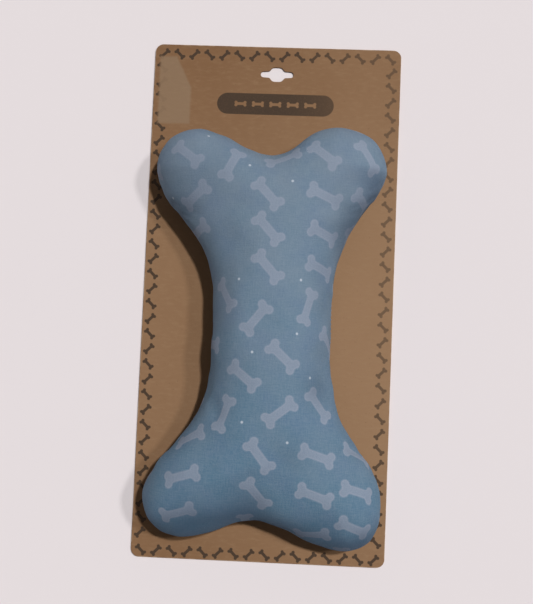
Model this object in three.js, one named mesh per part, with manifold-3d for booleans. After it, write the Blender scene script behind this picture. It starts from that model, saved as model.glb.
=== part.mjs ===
// A squeaky plush bone for a dog, stapled to the kraft card that it hangs on in a shop.
// Millimetres, +Z up. The card lies on its back on the XY plane, with its hang slot towards +Y.
import * as THREE from "three";
import { mergeVertices } from "three/addons/utils/BufferGeometryUtils.js";
import Module from "manifold-3d";

const wasm = await Module();
wasm.setup();

// Clearances between pieces
const TOUCH_GAP = 0.3;
const FILL_GAP = 0.6;

// Card
const CARD_WIDTH = 183.6;
const CARD_LENGTH = 380;
const CARD_THICKNESS = 1.6;
const CARD_CORNER_RADIUS = 6;

// Hang slot, a bar with round ends and a round bump above and below its middle
const SLOT_WIDTH = 24.6;
const SLOT_FROM_TOP = 20.7;
const SLOT_BUMP_HEIGHT = 11;
const SLOT_BUMP_FLAT = 3;
const SLOT_BUMP_BASE = 13;
const SLOT_BUMP_CROWN = 0.7;
const SLOT_BUMP_FOOT = 0.4;
const SLOT_WING_ROOT = 5;
const SLOT_WING_END = 4.6;

// Bone outline. Each lobe's reach to its side is at widest from the middle, and its tip at tipAt from the
// axis. Its flank is half way out from the waist at flank from the middle. Stuffing makes the lobes unlike.
const TOY_BELOW_CARD_CENTRE = 25.6;
const WAIST_LEFT = 38.4;
const WAIST_RIGHT = 48.7;
const NOTCH_UPPER = 127.5;
const NOTCH_LOWER = 133;
const LOBES = {
  upper_left: { side: -1, end: 1, reach: 83.5, widest: 114, tip: 145.3, tipAt: 55, flank: 77 },
  upper_right: { side: 1, end: 1, reach: 83.5, widest: 119, tip: 149.5, tipAt: 49, flank: 84.5 },
  lower_left: { side: -1, end: -1, reach: 81.5, widest: 118.5, tip: 147.3, tipAt: 53, flank: 78 },
  lower_right: { side: 1, end: -1, reach: 87, widest: 123.5, tip: 151, tipAt: 64, flank: 76.3 },
};
const FLANK_RUN_IN = 23;
const FLANK_RUN_OUT = 18;

// Shares of the way: how straight the waist is, how far out the flank is where it starts and ends, and
// where the outline bends between the notch and a lobe's tip
const WAIST_STRAIGHT = 0.36;
const FLANK_START = 0.15;
const FLANK_END = 0.84;
const NOTCH_FOOT_AT = 0.3;
const NOTCH_FOOT_RISE = 0.24;
const NOTCH_SHOULDER_AT = 0.58;
const NOTCH_SHOULDER_RISE = 0.72;

// The spine forks this far above and below the middle, and ends in each lobe at these shares of tipAt and
// widest. The line of each branch runs past the lobe's widest place, so that no two ribs cross.
const SPINE_FORK_UPPER = 94;
const SPINE_FORK_LOWER = 74;
const LOBE_CORE_OUT = 0.8;
const LOBE_CORE_UPPER = 0.98;
const LOBE_CORE_LOWER = 0.86;

// Stuffed height of the front and the back above and below the seam. The staples flatten the back.
const FRONT_RISE_WAIST = 43;
const FRONT_RISE_LOBE = 36.5;
const BACK_RISE_WAIST = 18;
const BACK_RISE_LOBE = 20;

// A dome climbs as an ellipse does, with its sine and cosine raised to this power. Below 1 it is fuller.
const DOME_POWER = 0.84;

// Cover and seam
const FABRIC = 1.5;
const SEAM_ALLOWANCE = 6;
const SEAM_THREAD_INSET = 3.2;
const THREAD_DIAMETER = 0.6;
const CLOSING_LENGTH = 60;
const CLOSING_STITCHES = 9;
const CLOSING_STITCH_DEPTH = 1.6;

// Filling wads: the shaft's wad ends at WAD_SPLIT from the middle, where the lobes' wads begin
const WAD_SPLIT = 52;

// Squeaker
const BULB_DIAMETER = 48;
const BULB_HEIGHT = 26;
const BULB_WALL = 1;
const BULB_ABOVE_SEAM = 8;
const BULB_ROUNDNESS = 0.6;
const WHISTLE_DIAMETER = 10;
const WHISTLE_WALL = 1.2;
const WHISTLE_DEPTH = 11;
const WHISTLE_FLANGE_DIAMETER = 16;
const WHISTLE_FLANGE = 1.2;
const REED_SEAT_LENGTH = 10;
const REED_SEAT_GROOVE = 2;
const REED_WIDTH = 3.2;
const REED_LENGTH = 9;
const REED_THICKNESS = 0.4;
const REED_WEDGE_LENGTH = 2.5;
const REED_TAIL = 0.5;

// Plastic staples that hold the bone's back to the card
const STAPLE_LEG_SPACING = 8;
const STAPLE_LEG_DIAMETER = 0.9;
const STAPLE_BAR_WIDTH = 1;
const STAPLE_BAR_HEIGHT = 0.6;
const STAPLE_TBAR_LENGTH = 7;
const STAPLE_TBAR_DIAMETER = 1;
const STAPLE_TBAR_LIFT = 2.4;

// Facets
const WAIST_STEPS = 2;
const LOBE_STEPS = 2;
const DOME_RINGS = 5;
const BULB_STEPS = 14;
const ROUND_SEGMENTS = 32;
const SMALL_SEGMENTS = 8;
const CORNER_SEGMENTS = 6;

// Places worked out from the sizes
const SEAM_GAP = THREAD_DIAMETER + 2 * TOUCH_GAP;
const CARD_FACE = CARD_THICKNESS + TOUCH_GAP;
const SEAM_MIDDLE = CARD_FACE + BACK_RISE_LOBE + SEAM_GAP / 2;
const TOY_CENTRE = new THREE.Vector2(0, -TOY_BELOW_CARD_CENTRE);
const STAPLE_HOLE_RADIUS = STAPLE_LEG_DIAMETER / 2 + TOUCH_GAP;
const WHISTLE_HOLE_RADIUS = WHISTLE_DIAMETER / 2 + TOUCH_GAP;
const BORE_RADIUS = WHISTLE_DIAMETER / 2 - WHISTLE_WALL;

// Materials
function material(color, roughness) {
  return new THREE.MeshStandardMaterial({ color, roughness, metalness: 0 });
}
const kraftBoard = material(0x8d6d4e, 0.9);
const bluePlush = material(0x6b8198, 0.95);
const fibre = material(0xe8e8e4, 1);
const blueThread = material(0x5a6d84, 0.8);
const milkyPlastic = material(0xeeece4, 0.45);
const whitePlastic = material(0xf4f4f0, 0.4);
const reedFilm = material(0xd9d2b8, 0.3);
const clearNylon = material(0xdcdcd8, 0.35);

const toy = new THREE.Group();
const part = new THREE.Group();
part.add(toy);

function addMesh(group, name, geometry, surface) {
  const mesh = new THREE.Mesh(geometry, surface);
  mesh.name = name;
  group.add(mesh);
  return mesh;
}

// Solids for joining and cutting

function solidOf(geometry) {
  const bare = new THREE.BufferGeometry();
  bare.setAttribute("position", geometry.getAttribute("position"));
  bare.setIndex(geometry.getIndex());
  const merged = mergeVertices(bare);
  const kept = [];
  const corners = merged.index.array;
  for (let i = 0; i < corners.length; i += 3) {
    const [a, b, c] = corners.slice(i, i + 3);
    if (a !== b && b !== c && c !== a) kept.push(a, b, c);
  }
  const vertProperties = merged.attributes.position.array;
  const triVerts = new Uint32Array(kept);
  return new wasm.Manifold(new wasm.Mesh({ numProp: 3, vertProperties, triVerts }));
}

function geometryOf(solid) {
  const mesh = solid.getMesh();
  const geometry = new THREE.BufferGeometry();
  geometry.setAttribute("position", new THREE.BufferAttribute(mesh.vertProperties, 3));
  geometry.setIndex(new THREE.BufferAttribute(mesh.triVerts, 1));
  geometry.computeVertexNormals();
  return geometry;
}

function blockAt(width, depth, height, x, y, z) {
  return solidOf(new THREE.BoxGeometry(width, depth, height).translate(x, y, z));
}

// An upright rod from one height to another
function rodAt(radius, x, y, low, high, segments = SMALL_SEGMENTS) {
  const rod = new THREE.CylinderGeometry(radius, radius, high - low, segments);
  return solidOf(rod.rotateX(Math.PI / 2).translate(x, y, (low + high) / 2));
}

// A turned piece: profile points are (radius, height)
function turned(profile, segments = ROUND_SEGMENTS) {
  const points = profile.map(([radius, height]) => new THREE.Vector2(radius, height));
  return new THREE.LatheGeometry(points, segments).rotateX(Math.PI / 2);
}

// Bone form. Around the outline each rib has a seam point, and a spine point that its dome climbs to.

function lobeCore(lobe) {
  const up = lobe.end < 0 ? LOBE_CORE_LOWER : LOBE_CORE_UPPER;
  return new THREE.Vector2(lobe.side * lobe.tipAt * LOBE_CORE_OUT, lobe.end * lobe.widest * up);
}

// Corner points of one quarter of the outline, from the waist to the notch. Each has its place along the
// spine, 0 at the middle of the shaft, 1 at the fork and 2 at the lobe's core, and the steps to the next.
function quarterCorners(lobe) {
  const waist = lobe.side < 0 ? WAIST_LEFT : WAIST_RIGHT;
  const notch = lobe.end < 0 ? NOTCH_LOWER : NOTCH_UPPER;
  const dip = lobe.tip - notch;
  const swell = lobe.reach - waist;
  const halfway = Math.SQRT1_2;
  const shoulder = [
    lobe.tipAt + halfway * (lobe.reach - lobe.tipAt),
    lobe.widest + halfway * (lobe.tip - lobe.widest),
  ];
  const rows = [
    [waist, 0, 0, WAIST_STEPS],
    [waist, WAIST_STRAIGHT * lobe.flank, 1 / 3, WAIST_STEPS],
    [waist + FLANK_START * swell, lobe.flank - FLANK_RUN_IN, 2 / 3, WAIST_STEPS],
    [waist + swell / 2, lobe.flank, 1, LOBE_STEPS],
    [waist + FLANK_END * swell, lobe.flank + FLANK_RUN_OUT, 1.5, LOBE_STEPS],
    [lobe.reach, lobe.widest, 2, LOBE_STEPS],
    [...shoulder, 2, LOBE_STEPS],
    [lobe.tipAt, lobe.tip, 2, LOBE_STEPS],
    [NOTCH_SHOULDER_AT * lobe.tipAt, notch + NOTCH_SHOULDER_RISE * dip, 1.5, LOBE_STEPS / 2],
    [NOTCH_FOOT_AT * lobe.tipAt, notch + NOTCH_FOOT_RISE * dip, 1.25, LOBE_STEPS / 2],
    [0, notch, 1, 0],
  ];
  return rows.map(([x, y, along, steps]) => ({
    at: new THREE.Vector3(lobe.side * x, lobe.end * y, 0),
    along,
    steps,
    lobe,
  }));
}

// The whole outline, counter-clockwise from the right waist. Quarters share their end corners.
function outlineCorners() {
  const rising = (lobe) => quarterCorners(lobe).slice(0, -1);
  const falling = (lobe) => {
    const corners = quarterCorners(lobe).reverse();
    const steps = corners.map((corner) => corner.steps);
    return corners.slice(0, -1).map((corner, i) => ({ ...corner, steps: steps[i + 1] }));
  };
  return [
    ...rising(LOBES.upper_right),
    ...falling(LOBES.upper_left),
    ...rising(LOBES.lower_left),
    ...falling(LOBES.lower_right),
  ];
}

function spinePoint(lobe, along) {
  const forkAt = lobe.end < 0 ? SPINE_FORK_LOWER : SPINE_FORK_UPPER;
  const fork = new THREE.Vector2(0, lobe.end * forkAt);
  if (along <= 1) return fork.multiplyScalar(along);
  return fork.lerp(lobeCore(lobe), along - 1);
}

function boneRibs() {
  const corners = outlineCorners();
  const curve = new THREE.CatmullRomCurve3(corners.map((corner) => corner.at), true, "centripetal");
  const ribs = [];
  corners.forEach((corner, i) => {
    const next = corners[(i + 1) % corners.length];
    const lobe = corner.along > next.along || corner.along === 2 ? corner.lobe : next.lobe;
    for (let k = 0; k < corner.steps; k++) {
      const share = k / corner.steps;
      const at = curve.getPoint((i + share) / corners.length);
      const along = corner.along + (next.along - corner.along) * share;
      ribs.push({ seam: new THREE.Vector2(at.x, at.y), spine: spinePoint(lobe, along), along });
    }
  });
  return ribs;
}

const RIBS = boneRibs();

// One ring of points around the bone, inset from the seam and turned up the dome towards the spine
function boneRing(inset, turn, rise, height) {
  const out = Math.cos(turn) ** DOME_POWER;
  const up = Math.sin(turn) ** DOME_POWER;
  return RIBS.map((rib) => {
    const inward = rib.spine.clone().sub(rib.seam);
    const edge = rib.seam.clone().addScaledVector(inward.clone().normalize(), inset);
    const flat = rib.spine.clone().lerp(edge, out);
    return new THREE.Vector3(flat.x, flat.y, height + rise(rib.along) * up);
  });
}

// Joins rings of equally many points into a surface, and closes a flat last ring with a cap
function loft(rings, { ringClosed = false, capLast = false, flip = false } = {}) {
  const around = rings[0].length;
  const index = [];
  const addFace = (a, b, c) => index.push(...(flip ? [a, c, b] : [a, b, c]));
  const last = ringClosed ? rings.length : rings.length - 1;
  for (let r = 0; r < last; r++) {
    const here = r * around;
    const there = ((r + 1) % rings.length) * around;
    for (let i = 0; i < around; i++) {
      const j = (i + 1) % around;
      addFace(here + i, there + i, there + j);
      addFace(here + i, there + j, here + j);
    }
  }
  if (capLast) {
    const first = (rings.length - 1) * around;
    const outline = rings[rings.length - 1].map((point) => new THREE.Vector2(point.x, point.y));
    const faces = THREE.ShapeUtils.triangulateShape(outline, []);
    faces.forEach(([a, b, c]) => addFace(first + a, first + c, first + b));
  }
  const points = rings.flat();
  const geometry = new THREE.BufferGeometry().setFromPoints(points);
  geometry.setIndex(index);
  return solidOf(geometry);
}

// Heights of the front (facing +1) and the back (facing -1) of the bone

function riseOf(facing, less) {
  const waist = facing > 0 ? FRONT_RISE_WAIST : BACK_RISE_WAIST;
  const lobe = facing > 0 ? FRONT_RISE_LOBE : BACK_RISE_LOBE;
  return (along) => facing * (waist + (lobe - waist) * THREE.MathUtils.smoothstep(along, 0, 2) - less);
}

function domeTurns(rings) {
  return Array.from({ length: rings + 1 }, (_, k) => ((rings - k) / rings) * (Math.PI / 2));
}

// A solid front or back of the bone, its dome inset from the outside all over. Further in than the hem, it
// reaches down to the base.
function boneHalf(facing, inset, hem, base) {
  const foot = SEAM_MIDDLE + facing * (SEAM_GAP / 2 + inset);
  const rise = riseOf(facing, 2 * inset);
  const rings = domeTurns(DOME_RINGS).map((turn) => boneRing(inset, turn, rise, foot));
  if (hem > inset) rings.push(boneRing(hem, 0, rise, foot), boneRing(hem, 0, rise, base));
  return loft(rings, { capLast: true, flip: facing < 0 });
}

// A fabric panel: a dome of cloth whose edge turns in as the seam allowance
function panel(facing) {
  const outside = boneHalf(facing, 0, 0, 0);
  const inside = boneHalf(facing, FABRIC, SEAM_ALLOWANCE, SEAM_MIDDLE);
  return outside.subtract(inside);
}

// The whole filling of the front or the back, clear of the panel and of the seam allowance
function fillingHalf(facing) {
  const base = SEAM_MIDDLE + (facing * FILL_GAP) / 2;
  return boneHalf(facing, FABRIC + FILL_GAP, SEAM_ALLOWANCE + FILL_GAP, base);
}

// Squeaker

const BULB_MIDDLE = SEAM_MIDDLE + BULB_ABOVE_SEAM;
const BULB_TOP = BULB_MIDDLE + BULB_HEIGHT / 2;

// Half of a drum with rounded faces, from the middle of its underside up to where a hole begins
function drumProfile(radius, halfHeight, holeRadius) {
  const full = (share) => {
    const turn = -Math.PI / 2 + share * Math.PI;
    const round = (value) => Math.sign(value) * Math.abs(value) ** BULB_ROUNDNESS;
    return [radius * round(Math.cos(turn)), halfHeight * round(Math.sin(turn))];
  };
  const points = Array.from({ length: BULB_STEPS }, (_, k) => full(k / BULB_STEPS));
  points[0] = [0, -halfHeight];
  const outer = points.filter(([r, z]) => z <= 0 || r > holeRadius + BULB_WALL);
  return [...outer, [holeRadius, halfHeight]];
}

function squeakerBulb() {
  const outer = drumProfile(BULB_DIAMETER / 2, BULB_HEIGHT / 2, WHISTLE_HOLE_RADIUS);
  const inner = drumProfile(BULB_DIAMETER / 2 - BULB_WALL, BULB_HEIGHT / 2 - BULB_WALL, WHISTLE_HOLE_RADIUS);
  return geometryOf(solidOf(turned([...outer, ...inner.reverse()])));
}

// The space in the filling that the squeaker sits in
function squeakerPocket() {
  const drum = drumProfile(BULB_DIAMETER / 2 + FILL_GAP, BULB_HEIGHT / 2 + FILL_GAP, 0);
  const flangeRadius = WHISTLE_FLANGE_DIAMETER / 2 + FILL_GAP;
  const flangeTop = BULB_TOP + TOUCH_GAP + WHISTLE_FLANGE + FILL_GAP;
  const pocket = solidOf(turned(drum)).translate([0, 0, BULB_MIDDLE]);
  return pocket.add(rodAt(flangeRadius, 0, 0, BULB_MIDDLE, flangeTop, ROUND_SEGMENTS));
}

// Heights along the whistle, from the top of the bulb
const FLANGE_UNDERSIDE = BULB_TOP + TOUCH_GAP;
const FLANGE_TOP = FLANGE_UNDERSIDE + WHISTLE_FLANGE;
const WHISTLE_LOW = FLANGE_UNDERSIDE - WHISTLE_DEPTH;
const REED_SEAT_TOP = FLANGE_UNDERSIDE;
const REED_SEAT_LOW = REED_SEAT_TOP - REED_SEAT_LENGTH;
const REED_TOP = REED_SEAT_TOP - TOUCH_GAP;
const REED_PIVOT = REED_TOP - REED_TAIL;
const REED_FACE = -REED_THICKNESS / 2 - TOUCH_GAP;

function whistleBody() {
  const outer = WHISTLE_DIAMETER / 2;
  const flange = WHISTLE_FLANGE_DIAMETER / 2;
  const profile = [
    [BORE_RADIUS, WHISTLE_LOW],
    [outer, WHISTLE_LOW],
    [outer, FLANGE_UNDERSIDE],
    [flange, FLANGE_UNDERSIDE],
    [flange, FLANGE_TOP],
    [BORE_RADIUS, FLANGE_TOP],
    [BORE_RADIUS, WHISTLE_LOW],
  ];
  return turned(profile);
}

// The part of a round plug, loose in the whistle's bore, that lies on one side of the reed
function borePlug(side, low, high) {
  const radius = BORE_RADIUS - TOUCH_GAP;
  const plug = rodAt(radius, 0, 0, low, high, ROUND_SEGMENTS);
  const width = 2 * radius + 1;
  const cut = blockAt(width, width, high - low + 1, 0, side * (REED_FACE + width / 2), (low + high) / 2);
  return plug.subtract(cut);
}

// A half-round plug with an air groove that the reed covers
function reedSeat() {
  const middle = REED_SEAT_LOW + REED_SEAT_LENGTH / 4;
  const groove = blockAt(REED_SEAT_GROOVE, REED_SEAT_GROOVE * 2, REED_SEAT_LENGTH, 0, REED_FACE, middle);
  return geometryOf(borePlug(1, REED_SEAT_LOW, REED_SEAT_TOP).subtract(groove));
}

// A short half-round wedge that clamps the reed's root against its seat
function reedWedge() {
  const wedge = borePlug(1, REED_SEAT_TOP - REED_WEDGE_LENGTH, REED_SEAT_TOP);
  return geometryOf(wedge.rotate([0, 0, 180]));
}

// The reed hangs from its pivot, which its short tail stands above
function reed() {
  const plate = new THREE.BoxGeometry(REED_WIDTH, REED_THICKNESS, REED_LENGTH);
  return plate.translate(0, 0, REED_TAIL - REED_LENGTH / 2);
}

// Staples

function stapleAt(core) {
  const barTop = STAPLE_BAR_HEIGHT;
  const tbar = CARD_FACE + FABRIC + STAPLE_TBAR_LIFT + STAPLE_TBAR_DIAMETER / 2;
  const barLength = STAPLE_LEG_SPACING + STAPLE_LEG_DIAMETER;
  let staple = blockAt(barLength, STAPLE_BAR_WIDTH, STAPLE_BAR_HEIGHT, core.x, core.y, barTop / 2);
  for (const side of [-1, 1]) {
    const x = core.x + (side * STAPLE_LEG_SPACING) / 2;
    const bar = new THREE.CylinderGeometry(
      STAPLE_TBAR_DIAMETER / 2, STAPLE_TBAR_DIAMETER / 2, STAPLE_TBAR_LENGTH, SMALL_SEGMENTS,
    );
    staple = staple.add(rodAt(STAPLE_LEG_DIAMETER / 2, x, core.y, barTop / 2, tbar));
    staple = staple.add(solidOf(bar.translate(x, core.y, tbar)));
  }
  return staple;
}

// The room that a staple's legs need through the cloth, and its T-bars inside the filling
function stapleRoom(core) {
  const top = CARD_FACE + FABRIC + STAPLE_TBAR_LIFT + STAPLE_TBAR_DIAMETER + FILL_GAP;
  const width = STAPLE_LEG_SPACING + STAPLE_TBAR_DIAMETER + 2 * FILL_GAP;
  const depth = STAPLE_TBAR_LENGTH + 2 * FILL_GAP;
  const legs = [-1, 1].map((side) => {
    const x = core.x + (side * STAPLE_LEG_SPACING) / 2;
    return rodAt(STAPLE_HOLE_RADIUS, x, core.y, -1, top);
  });
  return { legs: legs[0].add(legs[1]), bars: blockAt(width, depth, top * 2, core.x, core.y, 0) };
}

const CORES = Object.fromEntries(Object.entries(LOBES).map(([name, lobe]) => [name, lobeCore(lobe)]));
const ROOMS = Object.values(CORES).map(stapleRoom);

// Card

function roundedCard() {
  const x = CARD_WIDTH / 2;
  const y = CARD_LENGTH / 2;
  const r = CARD_CORNER_RADIUS;
  const shape = new THREE.Shape();
  shape.moveTo(r - x, -y);
  shape.absarc(x - r, r - y, r, -Math.PI / 2, 0);
  shape.absarc(x - r, y - r, r, 0, Math.PI / 2);
  shape.absarc(r - x, y - r, r, Math.PI / 2, Math.PI);
  shape.absarc(r - x, r - y, r, Math.PI, 1.5 * Math.PI);
  return shape;
}

function hangSlot() {
  const centre = CARD_LENGTH / 2 - SLOT_FROM_TOP;
  const end = SLOT_WING_END / 2;
  const endX = SLOT_WIDTH / 2 - end;
  const root = SLOT_WING_ROOT / 2;
  const base = SLOT_BUMP_BASE / 2;
  const flat = SLOT_BUMP_FLAT / 2;
  const high = SLOT_BUMP_HEIGHT / 2;
  const crown = flat + (base - flat) * SLOT_BUMP_CROWN;
  const foot = base - (base - flat) * SLOT_BUMP_FOOT;
  const path = new THREE.Path();
  path.moveTo(flat, centre + high);
  path.bezierCurveTo(crown, centre + high, foot, centre + root, base, centre + root);
  path.lineTo(endX, centre + end);
  path.absarc(endX, centre, end, Math.PI / 2, -Math.PI / 2, true);
  path.lineTo(base, centre - root);
  path.bezierCurveTo(foot, centre - root, crown, centre - high, flat, centre - high);
  path.lineTo(-flat, centre - high);
  path.bezierCurveTo(-crown, centre - high, -foot, centre - root, -base, centre - root);
  path.lineTo(-endX, centre - end);
  path.absarc(-endX, centre, end, -Math.PI / 2, Math.PI / 2, true);
  path.lineTo(-base, centre + root);
  path.bezierCurveTo(-foot, centre + root, -crown, centre + high, -flat, centre + high);
  return path;
}

function backingCard() {
  const shape = roundedCard();
  shape.holes.push(hangSlot());
  const sheet = new THREE.ExtrudeGeometry(shape, {
    depth: CARD_THICKNESS, bevelEnabled: false, curveSegments: CORNER_SEGMENTS,
  });
  let card = solidOf(sheet);
  const seatWidth = STAPLE_LEG_SPACING + STAPLE_LEG_DIAMETER + 2 * TOUCH_GAP;
  const seatDepth = STAPLE_BAR_WIDTH + 2 * TOUCH_GAP;
  const seatHeight = STAPLE_BAR_HEIGHT + TOUCH_GAP;
  Object.values(CORES).forEach((core, i) => {
    const y = core.y + TOY_CENTRE.y;
    card = card.subtract(ROOMS[i].legs.translate([0, TOY_CENTRE.y, 0]));
    card = card.subtract(blockAt(seatWidth, seatDepth, 2 * seatHeight, core.x, y, 0));
  });
  return geometryOf(card);
}

// Threads

// The lock-stitched line, between the two turned-in seam allowances all the way round
function seamThread() {
  const radius = THREAD_DIAMETER / 2;
  const sides = 6;
  const rings = Array.from({ length: sides }, (_, k) => {
    const turn = (k / sides) * 2 * Math.PI;
    const inset = SEAM_THREAD_INSET + radius * Math.cos(turn);
    return boneRing(inset, 0, () => 0, SEAM_MIDDLE + radius * Math.sin(turn));
  });
  return geometryOf(loft(rings, { ringClosed: true }));
}

// The hand-sewn ladder stitch that closes the gap in the right waist, through which the bone was filled
function closingThread() {
  const near = TOUCH_GAP + THREAD_DIAMETER / 2;
  const points = Array.from({ length: CLOSING_STITCHES * 2 + 1 }, (_, k) => {
    const y = -CLOSING_LENGTH / 2 + (CLOSING_LENGTH * k) / (CLOSING_STITCHES * 2);
    const inset = near + (k % 2) * CLOSING_STITCH_DEPTH;
    return new THREE.Vector3(waistEdgeAt(y) - inset, y, SEAM_MIDDLE);
  });
  const section = new THREE.Shape();
  section.absarc(0, 0, THREAD_DIAMETER / 2, 0, 2 * Math.PI);
  return new THREE.ExtrudeGeometry(section, {
    extrudePath: new THREE.CatmullRomCurve3(points),
    steps: points.length * 2,
    curveSegments: 3,
    bevelEnabled: false,
  });
}

// The outline's x on the right of the waist at a given y
function waistEdgeAt(y) {
  const beside = (seam) => seam.x > 0 && Math.abs(seam.y) < SPINE_FORK_LOWER;
  const right = RIBS.map((rib) => rib.seam).filter(beside);
  right.sort((a, b) => a.y - b.y);
  const above = right.findIndex((seam) => seam.y >= y);
  const [low, high] = [right[above - 1], right[above]];
  return low.x + ((high.x - low.x) * (y - low.y)) / (high.y - low.y);
}

// Filling wads: the shaft's, and one in each lobe, cut from each half of the filling

const WIDE = 400;

function wadCutter(lobe) {
  if (!lobe) return blockAt(WIDE, 2 * WAD_SPLIT, WIDE, 0, 0, 0);
  const x = lobe.side * (WIDE / 2 + FILL_GAP / 2);
  const y = lobe.end * (WIDE / 2 + WAD_SPLIT + FILL_GAP);
  return blockAt(WIDE, WIDE, WIDE, x, y, 0);
}

function addFilling(facing, prefix) {
  let half = fillingHalf(facing).subtract(squeakerPocket());
  if (facing < 0) ROOMS.forEach((room) => (half = half.subtract(room.bars)));
  const wad = (name, lobe) => {
    addMesh(toy, `${prefix}_filling_${name}`, geometryOf(half.intersect(wadCutter(lobe))), fibre);
  };
  wad("shaft", null);
  Object.entries(LOBES).forEach(([name, lobe]) => wad(`${name}_lobe`, lobe));
}

// Assembly

addMesh(part, "backing_card", backingCard(), kraftBoard);
addMesh(toy, "front_panel", geometryOf(panel(1)), bluePlush);
const pierced = ROOMS.reduce((cloth, room) => cloth.subtract(room.legs), panel(-1));
addMesh(toy, "back_panel", geometryOf(pierced), bluePlush);
addMesh(toy, "seam_thread", seamThread(), blueThread);
addMesh(toy, "closing_thread", closingThread(), blueThread);
addFilling(1, "front");
addFilling(-1, "back");
addMesh(toy, "squeaker_bulb", squeakerBulb(), milkyPlastic).position.z = BULB_MIDDLE;
addMesh(toy, "whistle_body", whistleBody(), whitePlastic);
addMesh(toy, "reed_seat", reedSeat(), whitePlastic);
addMesh(toy, "reed_wedge", reedWedge(), whitePlastic);
addMesh(toy, "reed", reed(), reedFilm).position.z = REED_PIVOT;
Object.entries(CORES).forEach(([name, core]) => {
  addMesh(toy, `card_staple_${name}`, geometryOf(stapleAt(core)), clearNylon);
});
toy.position.set(TOY_CENTRE.x, TOY_CENTRE.y, 0);

export default part;
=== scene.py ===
import math
import random

import bpy
import numpy as np
from mathutils import Matrix, Vector, noise


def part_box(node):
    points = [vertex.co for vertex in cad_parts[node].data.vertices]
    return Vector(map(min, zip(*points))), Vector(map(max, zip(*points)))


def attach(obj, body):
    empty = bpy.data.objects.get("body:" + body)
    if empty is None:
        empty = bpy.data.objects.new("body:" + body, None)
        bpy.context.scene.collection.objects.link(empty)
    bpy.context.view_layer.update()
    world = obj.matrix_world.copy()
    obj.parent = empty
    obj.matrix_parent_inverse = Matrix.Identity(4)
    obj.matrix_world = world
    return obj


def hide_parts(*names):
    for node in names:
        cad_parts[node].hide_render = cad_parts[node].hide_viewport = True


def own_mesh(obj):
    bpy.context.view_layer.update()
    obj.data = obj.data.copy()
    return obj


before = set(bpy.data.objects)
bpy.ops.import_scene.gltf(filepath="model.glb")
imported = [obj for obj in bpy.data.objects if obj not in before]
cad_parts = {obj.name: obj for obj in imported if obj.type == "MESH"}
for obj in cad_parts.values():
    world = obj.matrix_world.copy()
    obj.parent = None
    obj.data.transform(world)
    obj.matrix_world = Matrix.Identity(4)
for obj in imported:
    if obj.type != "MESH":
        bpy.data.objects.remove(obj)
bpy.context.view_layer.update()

MM = 0.001

# The photograph's frame and the camera that took it, fitted to the card's corners
PHOTO_WIDTH = 533
PHOTO_HEIGHT = 604
CAMERA_FIELD = math.radians(26)
CAMERA_AIM = (-0.9, -1.0, 0.0)
CAMERA_DISTANCE = 963
CAMERA_LEAN_DOWN = math.radians(4.89)
CAMERA_LEAN_RIGHT = math.radians(2.91)
CAMERA_ROLL = math.radians(2.41)

# Card print
CARD_LOW, CARD_HIGH = (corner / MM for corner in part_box("backing_card"))
CARD_WIDTH = CARD_HIGH.x - CARD_LOW.x
CARD_LENGTH = CARD_HIGH.y - CARD_LOW.y
CARD_FACE = CARD_HIGH.z
PRINT_SHIFT = (-0.45, -1.0)
ROW_INSET = 6.15
ROW_PITCH = 11.25
ROW_BONES = 16
COLUMN_INSET = 6.25
COLUMN_PITCH = 11.12
COLUMN_BONES = 32
BORDER_BONE = dict(shank=0.85, flare_from=1.6, flare=0.68, knob_at=(3.4, 1.05), knob=1.1, reach=4.2)
PILL_FROM_TOP = 43.5
PILL_LENGTH = 87
PILL_HEIGHT = 16
PILL_PITCH = 13
PILL_BONES = 5
TAPE = dict(left=-88, right=-64, low=130, high=181, corner=11.6)
# Painted light on the card: paler towards the right, and near the toy's middle along the card
PAINTED_LIGHT_ACROSS = (-95, 95)
PAINTED_LIGHT_ALONG = (205, 60)

# Bone outline, as in the solids: reach, widest, tip, tip_at and flank of each lobe
TOY_BELOW_CARD_CENTRE = 25.6
WAIST = {-1: 38.4, 1: 48.7}
NOTCH = {1: 127.5, -1: 133}
LOBES = {
    "upper_left": dict(side=-1, end=1, reach=83.5, widest=114, tip=145.3, tip_at=55, flank=77),
    "upper_right": dict(side=1, end=1, reach=83.5, widest=119, tip=149.5, tip_at=49, flank=84.5),
    "lower_left": dict(side=-1, end=-1, reach=81.5, widest=118.5, tip=147.3, tip_at=53, flank=78),
    "lower_right": dict(side=1, end=-1, reach=87, widest=123.5, tip=151, tip_at=64, flank=76.3),
}
FLANK_RUN_IN = 23
FLANK_RUN_OUT = 18
WAIST_STRAIGHT = 0.36
FLANK_START = 0.15
FLANK_END = 0.84
NOTCH_FOOT_AT, NOTCH_FOOT_RISE = 0.3, 0.24
NOTCH_SHOULDER_AT, NOTCH_SHOULDER_RISE = 0.58, 0.72
SPINE_FORK = {1: 94, -1: 74}
LOBE_CORE_OUT = 0.8
LOBE_CORE_UP = {1: 0.98, -1: 0.86}
DOME_POWER = 0.84

# Stuffed heights of the cover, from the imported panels
FRONT_LOW, FRONT_HIGH = (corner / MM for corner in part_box("front_panel"))
BACK_LOW, BACK_HIGH = (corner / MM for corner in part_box("back_panel"))
SEAM_HEIGHT = (FRONT_LOW.z + BACK_HIGH.z) / 2
RISE_MOST = {1: FRONT_HIGH.z - SEAM_HEIGHT, -1: SEAM_HEIGHT - BACK_LOW.z}
WAIST_DIP = {1: 0, -1: 2}
LOBE_DIP = {1: 6.5, -1: 0}
SEAM_GROOVE = 1.6
SEAM_GROOVE_WIDTH = 7
CLOTH_THICKNESS = 1.2

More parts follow.
